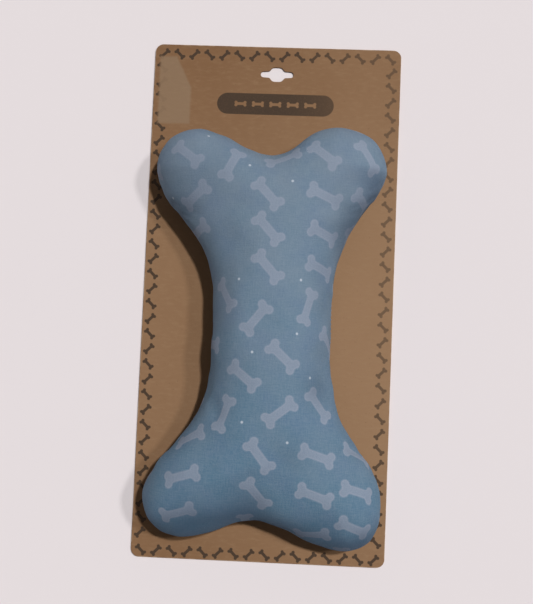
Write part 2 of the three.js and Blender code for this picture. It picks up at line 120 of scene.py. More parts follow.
# Cover mesh and cloth
WAIST_STEPS = 12
LOBE_STEPS = 10
DOME_RINGS = 26
RELAX_ROUNDS = 40
RELAX_IN, RELAX_OUT = 0.5, -0.52
CORE_HOLD = 26
CLOTH_FRAMES = 20
CLOTH_PRESSURE = 20
CLOTH_GROWTH = 0.006
CLOTH_STIFFNESS = 40
CLOTH_MOST_IN = 1.6
CLOTH_MOST_OUT = 3.0
CARD_CLEARANCE = 0.2
PUCKER_HEIGHT = 20
PUCKER_LENGTH = 9
PUCKER_DEPTH = 0.9
LUMP_LENGTH = 26
LUMP_HEIGHT = 1.0
# Dents in the stuffing, and lumps where the depth is below 0: pixel of the photograph, width and depth
DENTS = [
    (331, 392, 10, -1.5), (226, 236, 11, 1.2), (246, 246, 9, 0.9), (160, 178, 16, 1.6),
    (207, 392, 5, 1.3), (211, 403, 5, 1.6), (215, 414, 5, 1.3), (197, 532, 20, 2.2),
    (283, 520, 14, -2.6), (214, 300, 10, -1.0), (213, 345, 10, -1.0), (352, 207, 13, -2.0),
]

# Print on the cloth. Pixels of the photograph, and the direction of the bone in degrees, up to the right.
PRINT_BONES = [
    (187, 153, -37), (232, 163, 60), (284, 159, 20), (324, 154, -38), (369, 157, -60),
    (195, 196, 45), (268, 193, -48), (325, 196, -27),
    (268, 229, -49), (324, 234, -31), (268, 267, -50), (321, 269, -33), (226, 295, -66),
    (256, 318, 50), (308, 307, 73), (283, 357, -45),
    (243, 376, -42), (224, 414, 69), (280, 412, 36), (318, 406, -57), (190, 437, 28),
    (259, 456, -54), (317, 456, -20), (181, 476, 14), (256, 494, -50),
    (314, 496, -21), (358, 492, -18), (177, 513, 13), (354, 529, -22),
]
# Bones that run out of sight: the end that shows, and the direction from it to the bone's middle
PRINT_BONE_ENDS = [
    (357, 195, -38), (205, 225, -150), (160, 172, 190), (350, 230, -50), (217, 345, 175), (323, 333, -25),
    (203, 401, 200), (346, 449, 0), (151, 472, 200), (245, 516, -85), (326, 535, 195),
]
PRINT_DOTS = [
    (209, 136), (250, 165), (293, 181), (239, 279), (301, 280), (173, 198),
    (297, 334), (252, 352), (310, 378), (242, 422), (287, 443),
]
PRINT_SPACING = 31
PRINT_SEED = 7
PRINT_TRIES = 4000
PRINT_BONE = dict(shank=1.9, flare_from=4.5, flare=0.72, knob_at=(10.2, 3.1), knob=3.1, reach=12.4)
PRINT_EDGE = 0.7
PRINT_DEPTH = 9
PRINT_NEAR = 6
PRINT_FAR = CARD_LENGTH
PRINT_DOT_RADIUS = 0.9
BACK_DOTS = 20
# Painted shade: cloth that faces away from up and a little to the left is painted darker, as if lit from
# there
PAINTED_LIGHT_FROM = (-0.2, 0.98, 0)
PAINTED_SHADE_RAMP = (0.12, 0.85)
PAINTED_SHADE_STRENGTH = 0.6
# Patches of painted shade on the cloth, and of painted light where the share is below 0: pixel of the
# photograph, width, and share of the shade
PAINTED_SHADE_AND_LIGHT_PATCHES = [
    (196, 178, 26, 0.35), (212, 236, 9, 0.25), (321, 268, 11, 0.25), (322, 310, 11, 0.25),
    (322, 350, 11, 0.25), (317, 388, 12, 0.5), (190, 498, 17, 0.3), (291, 457, 13, 0.25),
    (274, 496, 16, -0.25), (350, 535, 9, -0.3),
]

# Squeaker and stitches, as in the solids
BULB_DIAMETER = 48
BULB_HEIGHT = 26
BULB_WALL = 1
BULB_ABOVE_SEAM = 8
BULB_ROUNDNESS = 0.6
BULB_HOLE_RADIUS = 5.3
BULB_WELD = 0.5
BULB_WELD_WIDTH = 0.8
BULB_STEPS = 28
BULB_SIDES = 64
CLOSING_LENGTH = 60
CLOSING_STITCHES = 18
STITCH_RADIUS = 0.35
STITCH_REACH = 1.5
FILLING_INSET = 1.9
FILLING_TUFTS = 0.8
FILLING_TUFT_LENGTH = 9
FILLING_GRAIN = 4
FILLING_ROUNDING = 4

# Colours, as shares of light
PLUSH_DEEP = (0.060, 0.151, 0.236)
PLUSH_PALE = (0.162, 0.219, 0.285)
PLUSH_BLOTCH = (0.098, 0.160, 0.270)
PLUSH_PRINT = (0.240, 0.280, 0.362)
PLUSH_DOT = (0.47, 0.52, 0.59)
PLUSH_TIP = (0.30, 0.36, 0.43)
# Colour of the painted shade on the cloth
PLUSH_PAINTED_SHADE = (0.020, 0.040, 0.075)
# The board's darker and paler tones, spread by painted light and mottling
KRAFT_DARK = (0.201, 0.105, 0.050)
KRAFT_PALE = (0.294, 0.173, 0.094)
KRAFT_FIBRE = (0.34, 0.217, 0.121)
KRAFT_SPECK = (0.13, 0.072, 0.036)
KRAFT_TAPED = (0.258, 0.175, 0.109)
KRAFT_SCUFF = (0.46, 0.33, 0.22)
KRAFT_INK = (0.046, 0.027, 0.015)
BACKDROP = (0.77, 0.71, 0.72)

# Floor and lamps
FLOOR_HALF = 2000
FLOOR_DROP = 0.2
KEY_LAMP = dict(towards=(0.3, 0.2, 1), level=0.63, width=3)
SIDE_LAMP = dict(towards=(0.56, 0.15, 1), level=0.22, width=5)
FILL_LEVEL = 0.15

SQUEEZE = 12
FRONT_BODY = "squeezed_front"
BACK_BODY = "card_and_back"


# Node trees


class Field:
    """A number that varies over a surface. Arithmetic on it adds math nodes to its material."""

    def __init__(self, tree, socket):
        self.tree = tree
        self.socket = socket

    def math(self, operation, *others):
        node = self.tree.nodes.new("ShaderNodeMath")
        node.operation = operation
        for place, value in enumerate((self, *others)):
            if isinstance(value, Field):
                self.tree.links.new(value.socket, node.inputs[place])
            else:
                node.inputs[place].default_value = value
        return Field(self.tree, node.outputs[0])

    def __add__(self, other):
        return self.math("ADD", other)

    def __sub__(self, other):
        return self.math("SUBTRACT", other)

    def __mul__(self, other):
        return self.math("MULTIPLY", other)

    def __abs__(self):
        return self.math("ABSOLUTE")

    def least(self, other):
        return self.math("MINIMUM", other)

    def most(self, other):
        return self.math("MAXIMUM", other)

    def ramp(self, low, high):
        """0 at low and 1 at high, smooth between them."""
        node = self.tree.nodes.new("ShaderNodeMapRange")
        node.interpolation_type = "SMOOTHSTEP"
        self.tree.links.new(self.socket, node.inputs["Value"])
        node.inputs["From Min"].default_value = low
        node.inputs["From Max"].default_value = high
        return Field(self.tree, node.outputs["Result"])


def length(a, b):
    return (a * a + b * b).math("SQRT")


class Surface:
    """A material with one principled shader, and short ways to feed its sockets."""

    def __init__(self, name, colour, roughness, **sockets):
        self.material = bpy.data.materials.new(name)
        self.material.use_nodes = True
        self.tree = self.material.node_tree
        self.shader = self.tree.nodes["Principled BSDF"]
        self.set("Base Color", (*colour, 1))
        self.set("Roughness", roughness)
        for socket, value in sockets.items():
            self.set(socket.replace("_", " "), value)

    def set(self, socket, value):
        self.shader.inputs[socket].default_value = value

    def feed(self, socket, field):
        self.tree.links.new(field.socket, self.shader.inputs[socket])

    def node(self, kind, **inputs):
        node = self.tree.nodes.new(kind)
        for name, value in inputs.items():
            target = node.inputs[name.replace("_", " ")]
            if isinstance(value, Field):
                self.tree.links.new(value.socket, target)
            elif isinstance(value, bpy.types.NodeSocket):
                self.tree.links.new(value, target)
            else:
                target.default_value = value
        return node

    def place(self, stretch=(1, 1, 1)):
        """Object coordinates, in metres, stretched along each axis."""
        found = self.tree.nodes.new("ShaderNodeTexCoord").outputs["Object"]
        return self.node("ShaderNodeMapping", Vector=found, Scale=stretch).outputs["Vector"]

    def parts(self, vector):
        node = self.node("ShaderNodeSeparateXYZ", Vector=vector)
        return [Field(self.tree, socket) for socket in node.outputs]

    def attribute(self, name):
        node = self.tree.nodes.new("ShaderNodeAttribute")
        node.attribute_name = name
        return node

    def noise(self, scale, detail=3.0, roughness=0.5, stretch=(1, 1, 1), vector=None):
        found = vector or self.place(stretch)
        node = self.node("ShaderNodeTexNoise", Vector=found, Scale=scale, Detail=detail, Roughness=roughness)
        return Field(self.tree, node.outputs["Fac"])

    def mix(self, share, first, second):
        """A colour that goes from first to second as share goes from 0 to 1."""
        node = self.tree.nodes.new("ShaderNodeMix")
        node.data_type = "RGBA"
        self.tree.links.new(share.socket, node.inputs["Factor"])
        for place, colour in ((6, first), (7, second)):
            if isinstance(colour, Field):
                self.tree.links.new(colour.socket, node.inputs[place])
            else:
                node.inputs[place].default_value = (*colour, 1)
        return Field(self.tree, node.outputs[2])

    def bump(self, height, distance, strength=1.0):
        node = self.node("ShaderNodeBump", Height=height, Distance=distance, Strength=strength)
        self.tree.links.new(node.outputs["Normal"], self.shader.inputs["Normal"])


# Materials


def plush_material():
    """Short-nap cloth: streaks in the nap, a fine weave, a pale bone print and small white dots, with painted
    shade where the cloth faces down and in patches.
    """
    surface = Surface("blue_plush", (0.16, 0.22, 0.30), 0.95, Sheen_Weight=0.03, Sheen_Roughness=0.5)
    surface.set("Specular IOR Level", 0.1)
    surface.set("Sheen Tint", (0.75, 0.84, 0.95, 1))
    flat = surface.attribute("flat_place").outputs["Vector"]
    height = surface.parts(flat)[1].ramp(-0.16, 0.12)
    edge = bone_motif(*surface.parts(surface.attribute("bone_place").outputs["Vector"])[:2], **PRINT_BONE)
    bones = edge.ramp(PRINT_EDGE, -PRINT_EDGE)
    rims = abs(edge + PRINT_EDGE).ramp(PRINT_EDGE, 0)
    right, up, out = surface.parts(surface.attribute("dot_place").outputs["Vector"])
    dots = (length(length(right, up), out) - PRINT_DOT_RADIUS).ramp(PRINT_EDGE / 2, -PRINT_EDGE / 2)
    patches = surface.noise(28, detail=4, vector=flat).ramp(0.3, 0.7)
    nap = surface.noise(900, detail=3, roughness=0.7, vector=flat)
    across = surface.node("ShaderNodeMapping", Vector=flat, Scale=(140, 1300, 1)).outputs["Vector"]
    along = surface.node("ShaderNodeMapping", Vector=flat, Scale=(1300, 140, 1)).outputs["Vector"]
    weft = surface.noise(1, detail=2, vector=across)
    warp = surface.noise(1, detail=2, vector=along)
    weave = (weft + warp) * 0.5
    ground = surface.mix(height * 0.7 + patches * 0.3, PLUSH_DEEP, PLUSH_PALE)
    blotches = surface.noise(42, detail=3, vector=flat).ramp(0.4, 0.7)
    ground = surface.mix(blotches * 0.35, ground, PLUSH_BLOTCH)
    worn = (bones * 0.85 + rims * 0.25) * (nap.ramp(0.2, 0.6) * 0.25 + 0.75)
    printed = surface.mix(worn, ground, PLUSH_PRINT)
    dotted = surface.mix(dots, printed, PLUSH_DOT)
    shade = (weave * 0.9 + nap * 0.5).ramp(0.35, 1.05)
    threads = surface.mix(shade * 0.35, dotted, PLUSH_TIP)
    painted_shade = Field(surface.tree, surface.attribute("painted_shade_amount").outputs["Fac"])
    # Painted shade: the cloth is darkened where it faces down and in the patches
    surface.feed("Base Color", surface.mix(painted_shade * PAINTED_SHADE_STRENGTH, threads, PLUSH_PAINTED_SHADE))
    surface.bump(weave * 0.6 + nap, 0.0006, 0.5)
    return surface.material


def bone_motif(a, b, shank, flare_from, flare, knob_at, knob, reach):
    """Distance to a printed bone that lies along a. Its shank flares out to two knobs at each end."""
    along = abs(a)
    across = abs(b)
    flared = (across - ((along - flare_from).most(0) * flare + shank)).most(along - knob_at[0])
    between = (along - reach).most(across - knob_at[1])
    return flared.least(between).least(length(along - knob_at[0], across - knob_at[1]) - knob)


def bone_row(u, v, count, pitch, turn):
    """A row of small bones along u, leaning by turn, one way and then the other. 1 on the bones."""
    cell = (u * (1 / pitch) + count / 2).math("FLOOR")
    local = u - (cell + (0.5 - count / 2)) * pitch
    lean = cell.math("MODULO", 2) * -2 + 1
    v = v * lean
    a = local * math.cos(turn) + v * math.sin(turn)
    b = v * math.cos(turn) - local * math.sin(turn)
    inside = (abs(u) - count * pitch / 2).ramp(0.01, -0.01)
    motif = bone_motif(a, b, **BORDER_BONE)
    return motif.ramp(0.25, -0.25) * inside


def card_material():
    """Kraft board: fibres, specks and mottling, painted light that makes it paler towards the right and near
    the toy's middle, and the brown print on its front.
    """
    surface = Surface("kraft_board", (0.27, 0.16, 0.085), 0.88)
    surface.set("Specular IOR Level", 0.25)
    x, y, z = surface.parts(surface.place((1 / MM,) * 3))
    front = z.ramp(CARD_FACE - 0.3, CARD_FACE - 0.1)

    aside = x - PRINT_SHIFT[0]
    outward = abs(y - PRINT_SHIFT[1]) - (CARD_LENGTH / 2 - ROW_INSET)
    row = bone_row(aside, outward, ROW_BONES, ROW_PITCH, math.pi / 4)
    inward = abs(aside) * -1 + (CARD_WIDTH / 2 - COLUMN_INSET)
    column = bone_row(y, inward, COLUMN_BONES, COLUMN_PITCH, math.pi / 4)
    up = y - (CARD_LENGTH / 2 - PILL_FROM_TOP)
    straight = (PILL_LENGTH - PILL_HEIGHT) / 2
    pill = (length((abs(aside) - straight).most(0), up) - PILL_HEIGHT / 2).ramp(0.2, -0.2)
    icons = bone_row(aside, up, PILL_BONES, PILL_PITCH, 0)
    ragged = surface.noise(300, detail=3) * 1.2 - 0.6
    beyond = (x - TAPE["right"]).most((x + y * 0.5) - (TAPE["right"] + TAPE["high"] * 0.5 - TAPE["corner"]))
    within = (x * -1 + TAPE["left"]).most((y - TAPE["high"]).most(y * -1 + TAPE["low"]))
    tape = (beyond.most(within) + ragged).ramp(1.2, -1.2) * front
    ink = row.most(column).most(pill - icons) * front * (tape * -0.9 + 1)

    mottle = surface.noise(24, detail=5, roughness=0.6)
    fibres = surface.noise(160, detail=5, roughness=0.7, stretch=(1, 3, 1))
    specks = surface.noise(700, detail=2).ramp(0.68, 0.76)
    beside = abs(y + TOY_BELOW_CARD_CENTRE)
    # Painted light: the board is paler towards the right and near the toy's middle, with mottling on top
    painted_light_and_mottle = x.ramp(*PAINTED_LIGHT_ACROSS) * 0.45 + beside.ramp(*PAINTED_LIGHT_ALONG) * 0.55 + mottle * 0.5 - 0.25
    board = surface.mix(painted_light_and_mottle, KRAFT_DARK, KRAFT_PALE)
    board = surface.mix(fibres.ramp(0.45, 0.75) * 0.25, board, KRAFT_FIBRE)
    board = surface.mix(specks * 0.4, board, KRAFT_SPECK)
    board = surface.mix(tape * 0.65, board, KRAFT_TAPED)
    edge = (abs(x) - (CARD_WIDTH / 2 - 0.9)).most(abs(y) - (CARD_LENGTH / 2 - 0.9)).ramp(0, 0.9)
    scuffs = edge * surface.noise(160, detail=3).ramp(0.4, 0.6)
    board = surface.mix(scuffs * 0.6, board, KRAFT_SCUFF)
    rubbed = x.ramp(0, CARD_WIDTH / 2) * y.ramp(-CARD_LENGTH / 2, 0)
    coverage = ink * (surface.noise(1500, detail=2).ramp(0.25, 0.5) * 0.14 + 0.84 + rubbed * -0.35)
    surface.feed("Base Color", surface.mix(coverage, board, KRAFT_INK))
    surface.feed("Roughness", ink * -0.14 + 0.9)
    surface.bump(fibres + mottle * 0.5, 0.00025, 0.5)
    return surface.material


def fibre_material():
    """Loose white fibre."""
    surface = Surface("fibre_filling", (0.8, 0.8, 0.77), 1.0, Sheen_Weight=0.3)
    strands = surface.noise(240, detail=5, roughness=0.7, stretch=(1, 5, 2))
    surface.feed("Base Color", surface.mix(strands.ramp(0.3, 0.7), (0.64, 0.64, 0.61), (0.86, 0.86, 0.84)))
    surface.bump(strands, 0.002, 0.8)
    return surface.material


def thread_material():
    """Twisted sewing thread."""
    surface = Surface("blue_thread", (0.1, 0.15, 0.23), 0.7, Sheen_Weight=0.3)
    wave = surface.node("ShaderNodeTexWave", Vector=surface.place((1, 1, 1)), Scale=600, Distortion=1.5)
    twist = Field(surface.tree, wave.outputs["Fac"])
    surface.feed("Base Color", surface.mix(twist, (0.072, 0.11, 0.175), (0.15, 0.205, 0.29)))
    surface.bump(twist, 0.0002, 0.8)
    return surface.material


def plastic_material(name, low, high, roughness, through):
    """Moulded plastic with a faint grain. Through is how much light passes."""
    surface = Surface(name, high, roughness, Transmission_Weight=through, Subsurface_Weight=0.1)
    surface.set("Subsurface Scale", 0.002)
    grain = surface.noise(180, detail=4)
    surface.feed("Base Color", surface.mix(grain.ramp(0.3, 0.7), low, high))
    surface.feed("Roughness", grain * 0.2 + (roughness - 0.1))
    surface.bump(surface.noise(900, detail=2), 0.0001, 0.3)
    return surface.material


# Bone form: ribs from the seam up to the spine


def lobe_core(lobe):
    side, end = lobe["side"], lobe["end"]
    return np.array((side * lobe["tip_at"] * LOBE_CORE_OUT, end * lobe["widest"] * LOBE_CORE_UP[end]))


def quarter_corners(lobe):
    """Outline corners from waist to notch, with their places along the spine and the steps to the next."""
    side, end = lobe["side"], lobe["end"]
    waist, notch = WAIST[side], NOTCH[end]
    swell = lobe["reach"] - waist
    dip = lobe["tip"] - notch
    half = math.sqrt(0.5)
    rows = [
        (waist, 0, 0, WAIST_STEPS),
        (waist, WAIST_STRAIGHT * lobe["flank"], 1 / 3, WAIST_STEPS),
        (waist + FLANK_START * swell, lobe["flank"] - FLANK_RUN_IN, 2 / 3, WAIST_STEPS),
        (waist + swell / 2, lobe["flank"], 1, LOBE_STEPS),
        (waist + FLANK_END * swell, lobe["flank"] + FLANK_RUN_OUT, 1.5, LOBE_STEPS),
        (lobe["reach"], lobe["widest"], 2, LOBE_STEPS),
        (
            lobe["tip_at"] + half * (lobe["reach"] - lobe["tip_at"]),
            lobe["widest"] + half * (lobe["tip"] - lobe["widest"]),
            2,
            LOBE_STEPS,
        ),
        (lobe["tip_at"], lobe["tip"], 2, LOBE_STEPS),
        (NOTCH_SHOULDER_AT * lobe["tip_at"], notch + NOTCH_SHOULDER_RISE * dip, 1.5, LOBE_STEPS // 2),
        (NOTCH_FOOT_AT * lobe["tip_at"], notch + NOTCH_FOOT_RISE * dip, 1.25, LOBE_STEPS // 2),
        (0, notch, 1, 0),
    ]
    return [(np.array((side * x, end * y)), along, steps, lobe) for x, y, along, steps in rows]


def outline_corners():
    """The whole outline, counter-clockwise from the right waist."""

    def falling(lobe):
        corners = quarter_corners(lobe)[::-1]
        steps = [corner[2] for corner in corners]
        return [(at, along, steps[i + 1], own) for i, (at, along, _, own) in enumerate(corners[:-1])]

    return [
        *quarter_corners(LOBES["upper_right"])[:-1],
        *falling(LOBES["upper_left"]),
        *quarter_corners(LOBES["lower_left"])[:-1],
        *falling(LOBES["lower_right"]),
    ]


def curve_point(points, i, share):
    """A point of the closed centripetal spline, between corner i and the next."""
    p0, p1, p2, p3 = (points[(i + k) % len(points)] for k in (-1, 0, 1, 2))
    d0, d1, d2 = (math.sqrt(np.linalg.norm(b - a)) for a, b in ((p0, p1), (p1, p2), (p2, p3)))
    t1 = ((p1 - p0) / d0 - (p2 - p0) / (d0 + d1) + (p2 - p1) / d1) * d1
    t2 = ((p2 - p1) / d1 - (p3 - p1) / (d1 + d2) + (p3 - p2) / d2) * d1
    s2, s3 = share**2, share**3
    return (
        (2 * s3 - 3 * s2 + 1) * p1
        + (s3 - 2 * s2 + share) * t1
        + (3 * s2 - 2 * s3) * p2
        + (s3 - s2) * t2
    )


def spine_point(lobe, along):
    fork = np.array((0, lobe["end"] * SPINE_FORK[lobe["end"]]))
    if along <= 1:
        return fork * along
    return fork + (lobe_core(lobe) - fork) * (along - 1)


def bone_ribs():
    """Seam points, spine points and places along the spine, all the way round the bone."""
    corners = outline_corners()
    points = [corner[0] for corner in corners]
    seam, spine, places = [], [], []
    for i, (_, along, steps, lobe) in enumerate(corners):
        following = corners[(i + 1) % len(corners)]
        own = lobe if along > following[1] or along == 2 else following[3]
        for k in range(steps):
            share = k / steps
            here = along + (following[1] - along) * share
            seam.append(curve_point(points, i, share))
            spine.append(spine_point(own, here))
            places.append(here)
    return np.array(seam), np.array(spine), np.array(places)


SEAM, SPINE, ALONG = bone_ribs()


def smooth(t):
    t = np.clip(t, 0, 1)
    return t * t * (3 - 2 * t)


def dome(facing):
    """Rings of points from the seam to the spine, and the same points on the cloth laid flat."""
    to_lobe = smooth(ALONG / 2)
    rise = RISE_MOST[facing] - WAIST_DIP[facing] * (1 - to_lobe) - LOBE_DIP[facing] * to_lobe
    turns = np.linspace(0, math.pi / 2, DOME_RINGS + 1)[:, None]
    flat = SPINE + (SEAM - SPINE) * np.abs(np.cos(turns))[..., None] ** DOME_POWER
    up = rise * np.sin(turns) ** DOME_POWER
    groove = SEAM_GROOVE * (1 - np.clip(up / SEAM_GROOVE_WIDTH, 0, 1)) ** 2
    inward = (SPINE - SEAM) / np.linalg.norm(SPINE - SEAM, axis=1, keepdims=True)
    flat = flat + inward * groove[..., None]
    rings = np.dstack([flat, SEAM_HEIGHT + facing * up])
    rings[..., 1] -= TOY_BELOW_CARD_CENTRE
    steps = np.linalg.norm(np.diff(rings, axis=0), axis=2)
    from_spine = np.vstack([np.cumsum(steps[::-1], axis=0)[::-1], np.zeros(len(SEAM))])
    laid = SPINE - inward * from_spine[..., None]
    return rings, laid


def bone_mesh():
    """The closed cover: points, their places on the flat cloth, and the faces of the front and of the back.
    The first points are the seam's."""
    around = len(SEAM)
    points, laid, faces = [], [], {1: [], -1: []}
    for facing in (1, -1):
        rings, flat = dome(facing)
        index = np.zeros((DOME_RINGS + 1, around), int)
        if facing == 1:
            points.extend(rings[0])
            laid.extend(flat[0])
        index[0] = np.arange(around)
        for k in range(1, DOME_RINGS):
            index[k] = len(points) + np.arange(around)
            points.extend(rings[k])
            laid.extend(flat[k])
        ridge = {}
        for i in range(around):
            key = tuple(np.round(rings[-1][i], 4))
            if key not in ridge:
                ridge[key] = len(points)
                points.append(rings[-1][i])
                laid.append(flat[-1][i])
            index[-1][i] = ridge[key]
        for k in range(DOME_RINGS):
            for i in range(around):
                j = (i + 1) % around
                corners = [index[k][i], index[k][j], index[k + 1][j], index[k + 1][i]]
                corners = list(dict.fromkeys(int(c) for c in corners))
                if len(corners) > 2:
                    faces[facing].append(corners if facing == 1 else corners[::-1])
    return np.array(points), np.array(laid), faces


def new_object(name, points, faces):
    mesh = bpy.data.meshes.new(name)
    mesh.from_pydata([tuple(p) for p in np.asarray(points) * MM], [], faces)
    mesh.validate()
    mesh.shade_smooth()
    obj = bpy.data.objects.new(name, mesh)
    bpy.context.scene.collection.objects.link(obj)
    return obj


def mesh_points(mesh):
    found = np.zeros(len(mesh.vertices) * 3, np.float32)
    mesh.vertices.foreach_get("co", found)
    return found.reshape(-1, 3).astype(float) / MM


def mesh_normals(mesh):
    found = np.zeros(len(mesh.vertices) * 3, np.float32)
    mesh.vertex_normals.foreach_get("vector", found)
    return found.reshape(-1, 3).astype(float)


def set_points(mesh, points):
    mesh.vertices.foreach_set("co", (np.asarray(points) * MM).astype(np.float32).ravel())
    mesh.update()


def final_mesh(obj):
    """The object's mesh with its modifiers applied."""
    bpy.context.view_layer.update()
    graph = bpy.context.evaluated_depsgraph_get()
    return bpy.data.meshes.new_from_object(
        obj.evaluated_get(graph), preserve_all_data_layers=True, depsgraph=graph
    )


def bake_modifiers(obj):
    mesh = final_mesh(obj)
    obj.modifiers.clear()
    obj.data = mesh


def core_nearness(points):
    """1 at the cores of the lobes, where many ribs meet, and 0 away from them."""
    cores = [spine_point(lobe, 2) - (0, TOY_BELOW_CARD_CENTRE) for lobe in LOBES.values()]
    away = np.linalg.norm(points[:, None, :2] - np.array(cores)[None], axis=2).min(axis=1)
    return smooth(1 - away / CORE_HOLD)


def relaxed(points, faces):
    """The form with its creases eased out, its seam held and its bulk kept.
    Near the lobes' cores it moves only up and down, so that the ribs don't fold over each other."""
    pairs = {tuple(sorted(pair)) for face in faces for pair in zip(face, face[1:] + face[:1])}
    ends = np.array(sorted(pairs))
    near = np.bincount(ends.ravel(), minlength=len(points))[:, None]
    free = np.ones_like(points)
    free[:, :2] -= core_nearness(points)[:, None]
    free[: len(SEAM)] = 0
    for share in (RELAX_IN, RELAX_OUT) * RELAX_ROUNDS:
        total = np.zeros_like(points)
        np.add.at(total, ends[:, 0], points[ends[:, 1]])
        np.add.at(total, ends[:, 1], points[ends[:, 0]])
        points = points + share * free * (total / near - points)
    return points


def puckers(points):
    """How far the cloth stands out of the form: short folds across the seam, and lumps of fibre under it."""
    height = np.zeros(len(points))
    for i, point in enumerate(points):
        height[i] = LUMP_HEIGHT * noise.noise(Vector(point) / LUMP_LENGTH)
        fade = 1 - abs(point[2] - SEAM_HEIGHT) / PUCKER_HEIGHT
        if fade > 0:
            ripple = noise.noise(Vector((point[0], point[1], 0)) / PUCKER_LENGTH)
            height[i] += PUCKER_DEPTH * (ripple - 0.2) * smooth(fade)
    return height


def spots(points, rows):
    """The sum of soft round spots on the front: each has a pixel of the photograph, a width and an amount."""
    front = points[points[:, 2] > SEAM_HEIGHT]
    shown = pixels(front)
    total = np.zeros(len(points))
    for x, y, width, amount in rows:
        middle = front[np.argmin(np.linalg.norm(shown - (x, y), axis=1))]
        total += amount * np.exp(-(np.linalg.norm(points - middle, axis=1) / width) ** 2)
    return total


def painted_shade_amount(mesh, painted_patches):
    """Painted shade, from 0 to 1: darker where the cloth faces down, plus the patches of painted shade and
    painted light.
    """
    low, high = PAINTED_SHADE_RAMP
    facing = smooth((-mesh_normals(mesh) @ PAINTED_LIGHT_FROM - low) / (high - low))
    return np.clip(facing + spots(mesh_points(mesh), painted_patches), 0, 1)


def stuffed(points, faces):
    """The cover blown up as cloth, its seam held. It is cut a little large, so it ripples."""
    body = new_object("cloth_trial", points, faces[1] + faces[-1])
    normals = np.array([vertex.normal for vertex in body.data.vertices])
    pins = body.vertex_groups.new(name="seam")
    pins.add(list(range(len(SEAM))), 1.0, "REPLACE")
    cloth = body.modifiers.new("stuffing", "CLOTH")
    settings = cloth.settings
    settings.quality = 5
    settings.mass = 0.15
    settings.tension_stiffness = settings.compression_stiffness = CLOTH_STIFFNESS
    settings.shear_stiffness = CLOTH_STIFFNESS / 2
    settings.bending_stiffness = 1.0
    settings.vertex_group_mass = "seam"
    settings.use_pressure = True
    settings.uniform_pressure_force = CLOTH_PRESSURE
    settings.shrink_min = -CLOTH_GROWTH
    settings.effector_weights.gravity = 0
    scene = bpy.context.scene
    cloth.point_cache.frame_start = 1
    cloth.point_cache.frame_end = CLOTH_FRAMES
    for step in range(1, CLOTH_FRAMES + 1):
        scene.frame_set(step)
    moved = mesh_points(final_mesh(body)) - points
    scene.frame_set(1)
    bpy.data.objects.remove(body)
    out = (moved * normals).sum(axis=1) + puckers(points) - spots(points, DENTS)
    out = np.clip(out, -CLOTH_MOST_IN, CLOTH_MOST_OUT)
    out[: len(SEAM)] = 0
    found = points + normals * out[:, None]
    found[:, 2] = np.maximum(found[:, 2], CARD_FACE + CARD_CLEARANCE)
    return found


def cover_piece(name, points, laid, faces, painted_patches=()):
    """One panel of the cover, from its faces of the closed form, refined for the print."""
    used = sorted({corner for face in faces for corner in face})
    place = {old: new for new, old in enumerate(used)}
    piece = new_object(name, points[used], [[place[c] for c in face] for face in faces])
    flat = piece.data.attributes.new("flat_place", "FLOAT_VECTOR", "POINT")
    flat.data.foreach_set("vector", np.column_stack([laid[used] * MM, np.zeros(len(used))]).ravel())
    refine = piece.modifiers.new("refine", "SUBSURF")
    refine.levels = refine.render_levels = 1
    bake_modifiers(piece)
    # Painted shade, stored on the cloth's points
    painted_shade = piece.data.attributes.new("painted_shade_amount", "FLOAT", "POINT")
    painted_shade.data.foreach_set("value", painted_shade_amount(piece.data, painted_patches))
    return piece


# Camera


def camera_axes():
    """The camera's place, and its right, up and backward directions."""
    back = np.array((math.sin(CAMERA_LEAN_RIGHT), -math.sin(CAMERA_LEAN_DOWN), 0))
    back[2] = math.sqrt(1 - back @ back)
    right = np.cross((0, 1, 0), back)
    right /= np.linalg.norm(right)
    up = np.cross(back, right)
    turn, lean = math.cos(CAMERA_ROLL), math.sin(CAMERA_ROLL)
    place = np.array(CAMERA_AIM) + CAMERA_DISTANCE * back
    return place, turn * right + lean * up, turn * up - lean * right, back


def pixels(points):
    """Where points of the object show in the photograph."""
    place, right, up, back = camera_axes()
    away = points - place
    scale = PHOTO_HEIGHT / 2 / math.tan(CAMERA_FIELD / 2) / -(away @ back)
    return np.column_stack([PHOTO_WIDTH / 2 + (away @ right) * scale, PHOTO_HEIGHT / 2 - (away @ up) * scale])


# Print on the cloth


class Cloth:
    """The points of a panel, and where marks are printed on it.
    A mark's axes are a row along the bone, a row across it and a row out of the cloth."""

    def __init__(self, piece):
        self.points = mesh_points(piece.data)
        self.normals = mesh_normals(piece.data)
        self.shown = pixels(self.points)

    def seen_at(self, x, y):
        """The point that shows at a pixel of the photograph."""
        away = ((self.shown - (x, y)) ** 2).sum(axis=1)
        near = np.argsort(away)[:4]
        return np.average(self.points[near], axis=0, weights=1 / (away[near] + 0.01))

    def normal_at(self, point):
        near = np.linalg.norm(self.points - point, axis=1) < PRINT_NEAR
        total = self.normals[near].sum(axis=0)
        return total / np.linalg.norm(total)

    def axes(self, point, ahead):
        out = self.normal_at(point)
        along = ahead - (ahead @ out) * out
        along /= np.linalg.norm(along)
        return np.array((along, np.cross(out, along), out))

    def seen_axes(self, point, degrees):
        """The axes of a bone that shows in this direction in the photograph."""
        place, right, up, _ = camera_axes()
        turn = math.radians(degrees)
        ahead = math.cos(turn) * right + math.sin(turn) * up
        sight = point - place
        out = self.normal_at(point)
        return self.axes(point, ahead - (ahead @ out) / (sight @ out) * sight)


